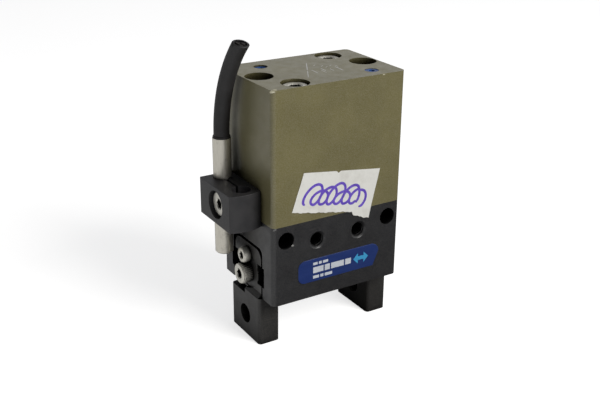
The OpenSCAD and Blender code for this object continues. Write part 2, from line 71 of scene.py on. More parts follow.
def mm(x, y, z):
    """A point given in millimetres."""
    return Vector((x, y, z)) * MM


# ---- frame ----

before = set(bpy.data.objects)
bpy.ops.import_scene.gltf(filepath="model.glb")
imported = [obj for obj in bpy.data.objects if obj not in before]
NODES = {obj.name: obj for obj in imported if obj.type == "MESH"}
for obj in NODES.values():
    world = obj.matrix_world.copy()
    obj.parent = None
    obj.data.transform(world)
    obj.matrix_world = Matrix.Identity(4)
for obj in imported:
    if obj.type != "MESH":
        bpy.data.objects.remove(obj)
bpy.context.view_layer.update()
CAD_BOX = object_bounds()
HOUSING_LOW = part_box("cylinder_housing")[0]
SEAM_Z = HOUSING_LOW.z
FRONT_Y = HOUSING_LOW.y


def box_centre(node):
    low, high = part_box(node)
    return (low + high) / 2


# ---- material building ----

class Shader:
    """One material's node tree, built from short calls."""

    def __init__(self, name):
        self.material = bpy.data.materials.new(name)
        self.material.use_nodes = True
        self.tree = self.material.node_tree
        self.tree.nodes.clear()
        self.where = self.add("ShaderNodeTexCoord").outputs["Object"]

    def add(self, kind, inputs=None, **settings):
        node = self.tree.nodes.new(kind)
        for key, value in settings.items():
            setattr(node, key, value)
        for key, value in (inputs or {}).items():
            self.feed(node.inputs[key], value)
        return node

    def feed(self, socket, value):
        if isinstance(value, bpy.types.NodeSocket):
            self.tree.links.new(value, socket)
        elif isinstance(value, tuple) and len(value) == 3 and len(socket.default_value) == 4:
            socket.default_value = (*value, 1)
        else:
            socket.default_value = value

    def stretched(self, scale):
        """Object coordinates scaled by a different factor along each axis."""
        return self.add("ShaderNodeMapping", {"Vector": self.where, "Scale": scale}).outputs["Vector"]

    def noise(self, size, detail=3, rough=0.55, stretch=None):
        """Noise from 0 to 1 whose features are about size millimetres across."""
        where = self.stretched(stretch) if stretch else self.where
        node = self.add("ShaderNodeTexNoise", {"Vector": where, "Scale": 1 / (size * MM),
                                               "Detail": detail, "Roughness": rough})
        return node.outputs["Fac"]

    def band(self, value, low, high, to_low=0.0, to_high=1.0):
        """Smooth step of value from low..high to to_low..to_high."""
        node = self.add("ShaderNodeMapRange", {"Value": value, "From Min": low, "From Max": high,
                                               "To Min": to_low, "To Max": to_high},
                        interpolation_type="SMOOTHSTEP")
        return node.outputs["Result"]

    def math(self, operation, a, b=0.0):
        node = self.add("ShaderNodeMath", operation=operation)
        self.feed(node.inputs[0], a)
        self.feed(node.inputs[1], b)
        return node.outputs[0]

    def mix(self, share, a, b):
        """Colour a where share is 0, b where it is 1."""
        node = self.add("ShaderNodeMix", data_type="RGBA")
        self.feed(node.inputs[0], share)
        self.feed(node.inputs[6], a)
        self.feed(node.inputs[7], b)
        return node.outputs[2]

    def bump(self, height, strength, distance, normal=None):
        inputs = {"Height": height, "Strength": strength, "Distance": distance * MM}
        if normal:
            inputs["Normal"] = normal
        return self.add("ShaderNodeBump", inputs).outputs["Normal"]

    def edge_wear(self, radius, amount):
        """Mask that is 1 on rubbed edges; amount from 0 (none) to 1 (all edges)."""
        soft = self.add("ShaderNodeBevel", {"Radius": radius * MM}, samples=6).outputs["Normal"]
        true = self.add("ShaderNodeNewGeometry").outputs["Normal"]
        dot = self.add("ShaderNodeVectorMath", operation="DOT_PRODUCT")
        self.tree.links.new(soft, dot.inputs[0])
        self.tree.links.new(true, dot.inputs[1])
        edge = self.band(dot.outputs["Value"], 0.97, 0.86)
        spots = self.band(self.noise(0.9, 4, 0.7), 0.66 - 0.3 * amount, 0.74 - 0.3 * amount)
        return self.math("MULTIPLY", edge, spots)

    def open_air(self, reach, low, high):
        """Mask that is 0 deep in a hole or corner and 1 on an open face; reach in millimetres."""
        node = self.add("ShaderNodeAmbientOcclusion", {"Distance": reach * MM}, samples=16)
        return self.band(node.outputs["AO"], low, high)

    def surface(self, **inputs):
        """Ends the tree with a principled shader; a name's underscores stand for spaces."""
        named = {key.replace("_", " "): value for key, value in inputs.items()}
        shader = self.add("ShaderNodeBsdfPrincipled", named)
        out = self.add("ShaderNodeOutputMaterial")
        self.tree.links.new(shader.outputs["BSDF"], out.inputs["Surface"])
        return self.material


def anodised(name, tone, shade, worn, roughness, wear, scratches):
    """Bead-blasted and anodised metal: fine grain, cloudy tone, scratches, rubbed edges, painted shade in
    holes.
    """
    s = Shader(name)
    cloud = s.noise(7, 4)
    grain = s.noise(0.16, 2, 0.6)
    streak = s.band(s.noise(0.5, 3, 0.5, (0.12, 1, 1.6)), 0.63, 0.72)
    rubbed = s.edge_wear(0.22, wear)
    tone = s.mix(s.band(cloud, 0.3, 0.7), shade, tone)
    tone = s.mix(s.math("MULTIPLY", s.band(grain, 0.35, 0.75), 0.22), tone, worn)
    tone = s.mix(s.math("MULTIPLY", streak, scratches), tone, worn)
    tone = s.mix(rubbed, tone, worn)
    # painted shade: the colour darkens and reflections dim deep in holes, grooves and corners
    air = s.open_air(reach=9, low=0.3, high=0.68)
    tone = s.mix(air, tuple(0.1 * c for c in shade), tone)
    rough = s.band(s.noise(2.2, 3), 0.25, 0.75, roughness - 0.05, roughness + 0.07)
    normal = s.bump(grain, 0.16, 0.02)
    normal = s.bump(streak, 0.12 * scratches, 0.01, normal)
    return s.surface(Base_Color=tone, Metallic=0.08, Roughness=rough, IOR=1.62, Normal=normal,
                     Specular_IOR_Level=s.math("MULTIPLY", air, 0.5))


def worked_metal(name, tone, shade, roughness, lay=(1, 1, 0.06), grime=0.25, metallic=1.0, painted_shade_reach=1.6):
    """Turned, ground or plated metal: lay marks in one direction, stains, bright edges, painted shade in
    sockets.
    """
    s = Shader(name)
    marks = s.noise(0.12, 2, 0.5, lay)
    stain = s.band(s.noise(1.6, 5, 0.65), 0.5, 0.72)
    rubbed = s.edge_wear(0.12, 0.8)
    colour = s.mix(s.band(marks, 0.3, 0.7), shade, tone)
    colour = s.mix(s.math("MULTIPLY", stain, grime), colour, tuple(0.35 * c for c in shade))
    colour = s.mix(s.math("MULTIPLY", rubbed, 0.5), colour, tuple(min(1, 1.3 * c) for c in tone))
    # painted shade: the colour darkens and reflections dim deep in sockets and recesses
    air = s.open_air(painted_shade_reach, low=0.45, high=0.75)
    colour = s.mix(air, tuple(0.03 * c for c in shade), colour)
    rough = s.band(marks, 0.2, 0.8, roughness - 0.06, roughness + 0.1)
    return s.surface(Base_Color=colour, Metallic=metallic, Roughness=rough,
                     Normal=s.bump(marks, 0.12, 0.01),
                     Specular_IOR_Level=s.math("MULTIPLY", air, 0.5))


def moulded(name, tone, shade, roughness, grain_size, grain_depth, dust=0.0):
    """Moulded plastic or rubber: eroded grain, slow tone changes, a little pale dust."""
    s = Shader(name)
    grain = s.noise(grain_size, 3, 0.6)
    colour = s.mix(s.band(s.noise(3.5, 3), 0.3, 0.7), shade, tone)
    specks = s.band(s.noise(0.35, 4, 0.7), 0.68, 0.76)
    colour = s.mix(s.math("MULTIPLY", specks, dust), colour, (0.3, 0.29, 0.27))
    rubbed = s.math("MULTIPLY", s.edge_wear(0.2, 0.7), 0.35)
    colour = s.mix(rubbed, colour, tuple(c * 3 + 0.02 for c in tone))
    rough = s.band(grain, 0.2, 0.8, roughness - 0.08, roughness + 0.1)
    return s.surface(Base_Color=colour, Roughness=rough, Normal=s.bump(grain, 0.25, grain_depth))


def printed_foil(name, tone, shade):
    """Glossy printed foil with faint streaks from wiping."""
    s = Shader(name)
    wiped = s.noise(1.1, 4, 0.6, (0.15, 1, 1))
    colour = s.mix(s.band(wiped, 0.2, 0.8), shade, tone)
    rough = s.band(wiped, 0.3, 0.7, 0.3, 0.42)
    return s.surface(Base_Color=colour, Roughness=rough, Coat_Weight=0.35, Coat_Roughness=0.15,
                     Normal=s.bump(wiped, 0.05, 0.01))


def paper_sheet(name, tone, shade):
    """Uncoated sticker paper: fibres, faint soiling."""
    s = Shader(name)
    fibre = s.noise(0.09, 4, 0.7, (1, 1, 0.45))
    soil = s.band(s.noise(3, 5, 0.6), 0.45, 0.75)
    colour = s.mix(s.math("MULTIPLY", soil, 0.6), tone, shade)
    colour = s.mix(s.math("MULTIPLY", s.band(fibre, 0.3, 0.7), 0.12), colour, shade)
    return s.surface(Base_Color=colour, Roughness=0.82, Normal=s.bump(fibre, 0.2, 0.02))


def marker_ink(name, tone, shade):
    """Felt marker ink, denser in places."""
    s = Shader(name)
    pool = s.band(s.noise(0.6, 4, 0.6), 0.3, 0.7)
    return s.surface(Base_Color=s.mix(pool, tone, shade), Roughness=0.55,
                     Normal=s.bump(s.noise(0.1, 2), 0.1, 0.01))


MATERIALS = {
    "olive_anodised": anodised("olive_anodised", (0.186, 0.164, 0.066), (0.16, 0.141, 0.056),
                               (0.5, 0.48, 0.38), 0.34, 0.16, 0.1),
    "black_anodised": anodised("black_anodised", (0.018, 0.019, 0.0215), (0.0125, 0.013, 0.0155),
                               (0.16, 0.15, 0.14), 0.4, 0.12, 0.12),
    "black_steel": anodised("black_steel", (0.021, 0.0205, 0.02), (0.0145, 0.014, 0.014),
                            (0.18, 0.17, 0.15), 0.44, 0.16, 0.1),
    "plain_aluminium": worked_metal("plain_aluminium", (0.66, 0.66, 0.64), (0.5, 0.5, 0.49), 0.34),
    "hardened_steel": worked_metal("hardened_steel", (0.5, 0.49, 0.47), (0.3, 0.29, 0.28), 0.26,
                                   (0.06, 1, 1)),
    # the last number is the reach in mm of the painted shade in the sockets
    "zinc_screw": worked_metal("zinc_screw", (0.86, 0.84, 0.76), (0.72, 0.7, 0.62), 0.38, (1, 1, 1),
                               0.3, 0.65, 3.2),
    "spring_steel": worked_metal("spring_steel", (0.42, 0.43, 0.45), (0.25, 0.26, 0.28), 0.3, (1, 1, 1)),
    "brass": worked_metal("brass", (0.66, 0.5, 0.27), (0.46, 0.33, 0.17), 0.32, (0.08, 1, 1)),
    "bronze": worked_metal("bronze", (0.5, 0.36, 0.2), (0.33, 0.23, 0.13), 0.48, (1, 1, 1)),
    "sensor_metal": worked_metal("sensor_metal", (0.8, 0.77, 0.68), (0.66, 0.63, 0.55), 0.34, (1, 1, 0.05),
                                 0.3, 0.85),
    "rubber": moulded("rubber", (0.022, 0.022, 0.022), (0.014, 0.014, 0.014), 0.62, 0.2, 0.03),
    "guide_plastic": moulded("guide_plastic", (0.72, 0.68, 0.58), (0.6, 0.56, 0.46), 0.5, 0.25, 0.02),
    "blue_plug": moulded("blue_plug", (0.02, 0.085, 0.3), (0.012, 0.045, 0.17), 0.42, 0.3, 0.04, 0.3),
    "bracket_plastic": moulded("bracket_plastic", (0.033, 0.032, 0.034), (0.022, 0.022, 0.024), 0.52,
                               0.18, 0.03, 0.35),
    "sensor_plastic": moulded("sensor_plastic", (0.04, 0.042, 0.045), (0.026, 0.028, 0.03), 0.45,
                              0.2, 0.02),
    "cable_jacket": moulded("cable_jacket", (0.022, 0.021, 0.022), (0.015, 0.0145, 0.015), 0.6,
                            0.22, 0.03, 0.15),
    "cable_core": moulded("cable_core", (0.02, 0.016, 0.014), (0.013, 0.011, 0.01), 0.6, 0.2, 0.02),
    "label_blue": printed_foil("label_blue", (0.016, 0.038, 0.17), (0.014, 0.033, 0.148)),
    "label_sky": printed_foil("label_sky", (0.07, 0.42, 0.72), (0.05, 0.32, 0.62)),
    "label_white": printed_foil("label_white", (0.72, 0.75, 0.8), (0.56, 0.6, 0.66)),
    "paper": paper_sheet("paper", (0.8, 0.8, 0.76), (0.62, 0.61, 0.56)),
    "marker": marker_ink("marker", (0.17, 0.1, 0.62), (0.11, 0.055, 0.46)),
    # lighter olive for worn spots, also a painted glint on the front-left corner
    "rubbed_olive_and_glint": anodised("rubbed_olive_and_glint", (0.5, 0.48, 0.36), (0.42, 0.4, 0.28),
                             (0.6, 0.58, 0.48), 0.4, 0.1, 0.1),
    # lighter grey for the painted glints on the base
    "painted_glint_black": anodised("painted_glint_black", (0.2, 0.2, 0.19), (0.13, 0.13, 0.13),
                           (0.4, 0.39, 0.36), 0.42, 0.1, 0.1),
    "bare_scratch": worked_metal("bare_scratch", (0.8, 0.79, 0.75), (0.6, 0.59, 0.56), 0.42,
                                 (1, 1, 1), 0.1),
}


# ---- CAD nodes that stay ----

# angles in degrees between two faces
FLAT_BELOW = 0.3
SHARP_FROM = 30


def soften_edges(node, width):
    """Modifiers that round a CAD node's sharp edges by width mm without touching its own mesh."""
    obj = NODES[node]
    weld = obj.modifiers.new("weld", "WELD")
    weld.merge_threshold = 0.002 * MM
    flatten = obj.modifiers.new("flatten", "DECIMATE")
    flatten.decimate_type = "DISSOLVE"
    flatten.angle_limit = math.radians(FLAT_BELOW)
    bevel = obj.modifiers.new("bevel", "BEVEL")
    bevel.width = width * MM
    bevel.segments = 2
    bevel.limit_method = "ANGLE"
    bevel.angle_limit = math.radians(SHARP_FROM)
    bevel.use_clamp_overlap = True
    shade = obj.modifiers.new("shade", "WEIGHTED_NORMAL")
    shade.keep_sharp = False
    shade.weight = 60


SLOT_NODES = {
    "olive_anodised": ["cylinder_housing"],
    "black_anodised": ["guide_base", "bottom_cover"],
    "black_steel": ["jaw_left", "jaw_right", "preload_screws"],
    "plain_aluminium": ["cylinder_cover", "piston"],
    "hardened_steel": ["guide_rail_front", "guide_rail_rear", "piston_rod", "wedge_hook", "rollers_left",
                       "rollers_right", "seal_retainer", "dowel_pins"],
    "zinc_screw": ["piston_nut"],
    "brass": ["roller_cages_left", "roller_cages_right"],
    "bronze": ["rod_bush"],
    "rubber": ["cover_seal", "rod_seal", "piston_seal"],
    "guide_plastic": ["piston_band"],
    "blue_plug": ["port_plugs"],
    "bracket_plastic": ["sensor_bracket"],
    "sensor_metal": ["proximity_sensor"],
    "sensor_plastic": ["sensor_face"],
}
# rounding in millimetres
SOFT_EDGES = {"cylinder_housing": 0.34, "guide_base": 0.2, "jaw_left": 0.18, "jaw_right": 0.18,
              "sensor_bracket": 0.35, "bottom_cover": 0.1, "wedge_hook": 0.1, "guide_rail_front": 0.12,
              "guide_rail_rear": 0.12}


def dress_cad_nodes():
    for slot, names in SLOT_NODES.items():
        for name in names:
            for holder in NODES[name].material_slots:
                holder.material = MATERIALS[slot]
    for name, width in SOFT_EDGES.items():
        soften_edges(name, width)


# ---- mesh building ----

def make_piece(name, points, faces, slot, body, smooth_angle=35, material=None):
    """New object from points in metres, dressed and riding on a body."""
    mesh = bpy.data.meshes.new(name)
    mesh.from_pydata([tuple(p) for p in points], [], faces)
    mesh.update()
    mesh.shade_smooth()
    mesh.set_sharp_from_angle(angle=math.radians(smooth_angle))
    mesh.materials.append(MATERIALS[material or slot])
    obj = bpy.data.objects.new(name, mesh)
    bpy.context.scene.collection.objects.link(obj)
    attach(obj, body)
    return obj


def frame_at(origin, axis):
    """Matrix that takes +Z to axis and the origin to a point in metres."""
    return Matrix.Translation(origin) @ UP.rotation_difference(Vector(axis)).to_matrix().to_4x4()


def ring_points(rings, segments):
    """Points in metres of rings given as (height, radius) in mm; a radius may depend on the angle."""
    points = []
    for height, radius in rings:
        for i in range(segments):
            angle = math.tau * i / segments
            r = radius(angle) if callable(radius) else radius
            points.append(mm(r * math.cos(angle), r * math.sin(angle), height))
    return points


def ring_faces(count, segments, closed_loop=False):
    """Side faces between rings, with flat caps at both ends unless the stack closes on itself."""
    faces = []
    for k in range(count if closed_loop else count - 1):
        a, b = k * segments, (k + 1) % count * segments
        for i in range(segments):
            j = (i + 1) % segments
            faces.append([a + i, a + j, b + j, b + i])
    if not closed_loop:
        faces.append(list(reversed(range(segments))))
        faces.append([(count - 1) * segments + i for i in range(segments)])
    return faces


class Batch:
    """Points and faces of several closed shapes that make one piece."""

    def __init__(self):
        self.points = []
        self.faces = []

    def add(self, points, faces):
        start = len(self.points)
        self.points += points
        self.faces += [[start + i for i in face] for face in faces]

    def stack(self, rings, matrix, segments=48, closed_loop=False):
        points = [matrix @ p for p in ring_points(rings, segments)]
        self.add(points, ring_faces(len(rings), segments, closed_loop))

    def prism(self, outline, matrix, depth):
        """Straight plate from an outline in the matrix's XY plane, in mm; it grows along +Z."""
        n = len(outline)
        points = [matrix @ mm(x, y, z) for z in (0, depth) for x, y in outline]
        sides = [[i, (i + 1) % n, n + (i + 1) % n, n + i] for i in range(n)]
        self.add(points, sides + [list(reversed(range(n))), list(range(n, 2 * n))])

    def piece(self, name, slot, body, **options):
        return make_piece(name, self.points, self.faces, slot, body, **options)


def hexagon(across_flats):
    """Radius of a hexagon as a function of angle."""
    def radius(angle):
        turn = (angle + math.pi / 6) % (math.pi / 3) - math.pi / 6
        return across_flats / 2 / math.cos(turn)
    return radius


def knurled(radius, depth, ridges):
    """Radius of a ridged rim as a function of angle."""
    def at(angle):
        return radius - depth * abs(math.sin(angle * ridges / 2))
    return at


KNURL_RIDGES = 32


def cap_screw_rings(thread_r, head_r, head_h, length, socket, knurl=0.0):
    """Rings of a cap screw from its tip up to the floor of its socket; its bearing face is at height 0."""
    side = knurled(head_r, knurl, KNURL_RIDGES) if knurl else head_r
    corner = socket / math.sqrt(3)
    return [
        (-length, thread_r - 0.2), (-length + 0.2, thread_r), (0, thread_r),
        (0, head_r - 0.12), (0.1, head_r - 0.02 - knurl), (0.2, side), (head_h - 0.42, side),
        (head_h - 0.36, head_r - 0.03 - knurl), (head_h - 0.14, head_r - 0.1),
        (head_h - 0.03, head_r - 0.22),
        (head_h, head_r - 0.36), (head_h, corner + 0.1), (head_h - 0.06, corner + 0.02),
        (head_h - 0.22, hexagon(socket)), (head_h * 0.45, hexagon(socket)), (head_h * 0.45 - 0.15, 0.3),
    ]


# ---- screws ----

# sizes in millimetres; a socket is given across its flats
HOUSING_SCREW = {"thread_r": 1.5, "head_r": 2.75, "head_h": 3, "length": 30, "socket": 2.5}
BRACKET_SCREW = {"thread_r": 1.5, "head_r": 2.75, "head_h": 1.7, "length": 9.3, "socket": 2}
END_SCREW = {"thread_r": 1, "head_r": 1.75, "head_h": 1.7, "length": 5, "socket": 1.5}
CAM_SCREW = {"thread_r": 1.25, "head_r": 2.3, "head_h": 2.5, "length": 5.9, "socket": 2, "knurl": 0.09}
COVER_SCREW = {"thread_r": 0.8, "head_r": 1.3, "head_h": 0.65, "length": 2.2, "socket": 0.9}


def screw_group(name, node, slot, body, places, **size):
    """Cap screws at places given as (bearing point in metres, axis); they stand for one CAD node."""
    batch = Batch()
    for origin, axis in places:
        batch.stack(cap_screw_rings(**size), frame_at(origin, axis), 96)
    piece = batch.piece(name, slot, body, smooth_angle=32)
    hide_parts(node)


def diagonal_places(node, size):
    """Bearing points of the two upright screws that a CAD node holds on one diagonal of its box."""
    low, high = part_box(node)
    r = size["head_r"] * MM
    z = high.z - size["head_h"] * MM
    return [(Vector((low.x + r, low.y + r, z)), UP), (Vector((high.x - r, high.y - r, z)), UP)]


def build_screws():
    screw_group("housing_cap_screws", "housing_screws", "zinc_screw", "housing",
                diagonal_places("housing_screws", HOUSING_SCREW), **HOUSING_SCREW)
    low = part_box("bracket_screw")[0]
    centre = box_centre("bracket_screw")
    seat = Vector((low.x + BRACKET_SCREW["head_h"] * MM, centre.y, centre.z))
    screw_group("bracket_cap_screw", "bracket_screw", "zinc_screw", "housing",
                [(seat, (-1, 0, 0))], **BRACKET_SCREW)
    for side, sign in (("left", -1), ("right", 1)):
        for kind, size in (("jaw_end_screw", END_SCREW), ("cam_screw", CAM_SCREW)):
            node = f"{kind}_{side}"
            low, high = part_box(node)
            centre = box_centre(node)
            outer = low.x if sign < 0 else high.x
            seat = Vector((outer - sign * size["head_h"] * MM, centre.y, centre.z))
            screw_group(f"{kind}_{side}_turned", node, "zinc_screw", f"jaw_{side}",
                        [(seat, (sign, 0, 0))], **size)
    low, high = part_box("bottom_cover_screws")
    r = COVER_SCREW["head_r"] * MM
    z = low.z + COVER_SCREW["head_h"] * MM
    corners = [(Vector((x, y, z)), -UP) for x in (low.x + r, high.x - r) for y in (low.y + r, high.y - r)]
    screw_group("cover_cap_screws", "bottom_cover_screws", "zinc_screw", "housing",
                corners, **COVER_SCREW)


# ---- spring ----

def build_spring():
    """Compression spring between the piston and the housing roof, with closed ends."""
    low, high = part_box("opening_spring")
    height = (high.z - low.z) / MM - 2 * SPRING_WIRE_R
    mean_r = (high.x - low.x) / MM / 2 - SPRING_WIRE_R
    steps, sides = 48, 14
    pitch_closed = 2 * SPRING_WIRE_R + 0.04
    closed = pitch_closed * SPRING_DEAD_TURNS
    active = SPRING_TURNS - 2 * SPRING_DEAD_TURNS
    count = round(steps * SPRING_TURNS)
    points = []
    for i in range(count + 1):
        turn = i / steps
        if turn < SPRING_DEAD_TURNS:
            z = turn * pitch_closed
        elif turn > SPRING_TURNS - SPRING_DEAD_TURNS:
            z = height - (SPRING_TURNS - turn) * pitch_closed
        else:
            z = closed + (turn - SPRING_DEAD_TURNS) / active * (height - 2 * closed)
        angle = math.tau * turn
        for j in range(sides):
            across = math.tau * j / sides
            r = mean_r + SPRING_WIRE_R * math.cos(across)
            lift = z + SPRING_WIRE_R * (1 + math.sin(across))
            points.append(mm(r * math.cos(angle), r * math.sin(angle), lift) + Vector((0, 0, low.z)))
    spring = make_piece("coil_spring", points, ring_faces(count + 1, sides),
                        "spring_steel", "housing", 60)
    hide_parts("opening_spring")
    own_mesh(spring)


# ---- sensor cable ----

class CablePath:
    """Centre line of the cable: straight out of the sensor, then one bend towards the front."""

    def __init__(self):
        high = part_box("proximity_sensor")[1]
        centre = box_centre("proximity_sensor")
        self.start = Vector((centre.x, centre.y, high.z))
        self.lean = Vector((math.cos(CABLE_LEAN), math.sin(CABLE_LEAN), 0))
        self.side = UP.cross(self.lean)

    def at(self, length):
        """(point, direction) at a distance in mm from the top of the sensor."""
        if length <= CABLE_LEAD:
            return self.start + UP * length * MM, UP.copy()
        turn = (length - CABLE_LEAD) / CABLE_BEND_R
        shift = CABLE_BEND_R * (1 - math.cos(turn)) * MM
        rise = (CABLE_LEAD + CABLE_BEND_R * math.sin(turn)) * MM
        direction = self.lean * math.sin(turn) + UP * math.cos(turn)
        return self.start + self.lean * shift + UP * rise, direction

    def ring(self, length, radius, segments, across=0.0, along=0.0):
        centre, direction = self.at(length)
        inward = self.side.cross(direction)
        centre = centre + (self.side * across + inward * along) * MM
        angles = [math.tau * i / segments for i in range(segments)]
        return [centre + (inward * math.cos(a) + self.side * math.sin(a)) * radius * MM for a in angles]

    def cut_rings(self, steps, segments, **shift):
        """Rings at the cable's end, given as (radius, depth under the plane of the cut)."""
        end = CABLE_LEAD + CABLE_BEND_R * CABLE_TURN
        return [self.cut(self.ring(end, radius, segments, **shift), sink) for radius, sink in steps]

    def cut(self, points, sink):
        """Slides points along the cable's end onto the plane of the cut, sunk by a depth in mm."""
        centre, direction = self.at(CABLE_LEAD + CABLE_BEND_R * CABLE_TURN)
        normal = self.lean * math.sin(CABLE_CUT_TILT) + UP * math.cos(CABLE_CUT_TILT)
        centre = centre - direction * sink * MM
        return [p + direction * ((centre - p).dot(normal) / direction.dot(normal)) for p in points]


def build_cable():
    path = CablePath()
    jacket_r, hollow_r, core_r, core_spread = 1.69, 1.25, 0.4, 0.62
    collar_r, collar_h, stem_r, stem_depth = 1.88, 0.34, 1.45, 1.8
    segments, core_segments, bend_steps = 40, 18, 42
    end = CABLE_LEAD + CABLE_BEND_R * CABLE_TURN
    last_ring = end - 1.2
    profile = [(-stem_depth, stem_r), (0.02, stem_r), (0.03, collar_r - 0.05), (0.09, collar_r),
               (collar_h, collar_r), (collar_h + 0.06, collar_r - 0.04), (collar_h + 0.12, jacket_r)]
    bend_start = CABLE_LEAD + 0.1
    profile += [(bend_start + k * (last_ring - bend_start) / bend_steps, jacket_r)
                for k in range(bend_steps + 1)]
    rings = [path.ring(s, r, segments) for s, r in profile]
    rings += path.cut_rings([(jacket_r, 0.12), (jacket_r - 0.12, 0.01), (hollow_r, 0.04),
                             (hollow_r - 0.03, 0.5)], segments)
    points = [p for ring in rings for p in ring]
    jacket = make_piece("cable_jacket", points, ring_faces(len(rings), segments),
                        "cable_jacket", "housing", 50)
    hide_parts("sensor_cable")
    cores = Batch()
    for k in range(3):
        spot = math.tau * (k / 3 + 0.25)
        core = path.cut_rings([(core_r, 1.2), (core_r, 0.16), (core_r - 0.1, 0.08), (core_r - 0.3, 0.14)],
                              core_segments, across=core_spread * math.sin(spot),
                              along=core_spread * math.cos(spot))
        cores.add([p for ring in core for p in ring], ring_faces(len(core), core_segments))
    wires = cores.piece("cable_conductors", "cable_core", "housing")
    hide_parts("cable_cores")


# ---- threads in the mounting holes ----

THREAD_CREST_R, THREAD_ROOT_R, THREAD_PITCH = 1.45, 1.63, 0.7
THREAD_SKIN = 0.012
TOP_HOLE_X, TOP_THREAD_Z, TOP_THREAD_DEPTH = 12.75, -2.0, 7.5
FRONT_HOLE_X, FRONT_HOLE_DROP, FRONT_THREAD_SINK, FRONT_THREAD_DEPTH = 5.2, 4.8, 0.35, 3.6


def thread_sleeve(batch, mouth, axis, depth):
    """Helical thread that lines a hole; mouth is where it starts, in metres, and axis points out of it."""
    segments = 36
    step = THREAD_PITCH / 6
    count = int(depth / step)

    def groove(height):
        def radius(angle):
            phase = (height / THREAD_PITCH - angle / math.tau) % 1
            return THREAD_CREST_R + (THREAD_ROOT_R - THREAD_CREST_R) * min(1, 2.6 * abs(phase - 0.5))
        return radius

    inner = [(-0.1 - k * step, groove(-k * step)) for k in range(count)]
    outer = [(inner[-1][0], THREAD_ROOT_R + THREAD_SKIN), (inner[0][0], THREAD_ROOT_R + THREAD_SKIN)]
    batch.stack(inner + outer, frame_at(mouth, axis), segments, closed_loop=True)


def build_threads():
    top = Batch()
    for x in (-TOP_HOLE_X, TOP_HOLE_X):
        thread_sleeve(top, Vector((x * MM, 0, TOP_THREAD_Z * MM)), UP, TOP_THREAD_DEPTH)
    top.piece("top_hole_threads", "olive_anodised", "housing")
    front = Batch()
    for x in (-FRONT_HOLE_X, FRONT_HOLE_X):
        mouth = Vector((x * MM, FRONT_Y + FRONT_THREAD_SINK * MM, SEAM_Z - FRONT_HOLE_DROP * MM))
        thread_sleeve(front, mouth, FRONT, FRONT_THREAD_DEPTH)
    front.piece("front_hole_threads", "black_anodised", "housing")


# ---- label ----

LABEL_LEFT, LABEL_TOP, LABEL_LOW = -9.9, -9.0, -14.3
LABEL_CORNER = 1.6
LABEL_TIP = ((9.3, LABEL_LOW), (10.75, -10.85), (10.55, -10.1), (10.0, -9.4), (9.1, LABEL_TOP))
LABEL_THICK = 0.17
PRINT_LIFT, PRINT_THICK = 0.165, 0.02
PRINT_LEFT, PRINT_GAP = -6.25, 0.32
# rows of plain bars in place of lettering: (middle height, bar height, bar widths)
PRINT_ROWS = ((-10.15, 0.6, (1.1, 0.7, 1.3)),
              (-11.65, 1.35, (2.6, 1.3, 3.3, 1.5)),
              (-13.28, 0.66, (1.5, 0.8, 1.9)))
STROKE_SIGN = {"x": 6.0, "y": -11.6, "reach": 1.95, "half_h": 1.25, "neck": 0.75, "half_bar": 0.45}


def label_plane(lift):
    """Matrix of a plane lift mm off the front face: X along the body, Y up from the seam, Z outwards."""
    origin = Vector((0, FRONT_Y - lift * MM, SEAM_Z))
    return Matrix.Translation(origin) @ Matrix.Rotation(math.pi / 2, 4, "X")


def corner(x, y, radius, start, steps=10):
    """Quarter arc that turns anticlockwise from an angle in degrees."""
    angles = [math.radians(start + 90 * k / steps) for k in range(steps + 1)]
    return [(x + radius * math.cos(a), y + radius * math.sin(a)) for a in angles]


def bar(x, y, w, h):
    """Outline of an upright bar, from its left end and its middle height."""
    return [(x, y - h / 2), (x + w, y - h / 2), (x + w, y + h / 2), (x, y + h / 2)]


def double_arrow(x, y, reach, half_h, neck, half_bar):
    """Outline of a flat arrow with two heads, the sign for a stroke in both directions."""
    right = [(neck, -half_bar), (neck, -half_h), (reach, 0), (neck, half_h), (neck, half_bar)]
    return [(x + side * a, y + side * b) for side in (1, -1) for a, b in right]


def build_label():
    r = LABEL_CORNER
    outline = corner(LABEL_LEFT + r, LABEL_TOP - r, r, 90) + corner(LABEL_LEFT + r, LABEL_LOW + r, r, 180)
    outline += LABEL_TIP
    plate = Batch()
    plate.prism(outline, label_plane(0), LABEL_THICK)
    label = plate.piece("maker_label", "label_blue", "housing")
    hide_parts("type_label")
    bevel = label.modifiers.new("bevel", "BEVEL")
    bevel.width = 0.05 * MM
    bevel.limit_method = "ANGLE"

    face = label_plane(PRINT_LIFT)
    white = Batch()
    for y, h, widths in PRINT_ROWS:
        x = PRINT_LEFT
        for w in widths:
            white.prism(bar(x, y, w, h), face, PRINT_THICK)
            x += w + PRINT_GAP
    white.piece("label_white_print", "label_blue", "housing", material="label_white")

    sky = Batch()
    sky.prism(double_arrow(**STROKE_SIGN), face, PRINT_THICK)
    sky.piece("label_sky_print", "label_blue", "housing", material="label_sky")


# ---- sticker ----

STICKER_TOP = ((-8.7, 10.9), (10.3, 8.4))
STICKER_LOW = ((-11.5, 2.7), (3.3, -0.15), (3.6, -1.1), (5.6, -1.6), (6.2, -2.2), (7.65, -2.4))
STICKER_GAP, STICKER_THICK = 0.035, 0.055
# places and widths along the sticker are shares of its length
NICK_AT, NICK_WIDTH, NICK_DEPTH = 0.445, 0.018, 0.42
CURL_FROM, CURL_HEIGHT = 0.62, 0.66
BLISTER_AT, BLISTER_WIDTH, BLISTER_HEIGHT = 0.3, 0.16, 0.16


def along_line(points, share):
    """Point at a share of the way in x along a polyline."""
    x = points[0][0] + share * (points[-1][0] - points[0][0])
    for (x0, y0), (x1, y1) in zip(points, points[1:]):
        if x <= x1:
            return x, y0 + (x - x0) / (x1 - x0) * (y1 - y0)
    return points[-1]


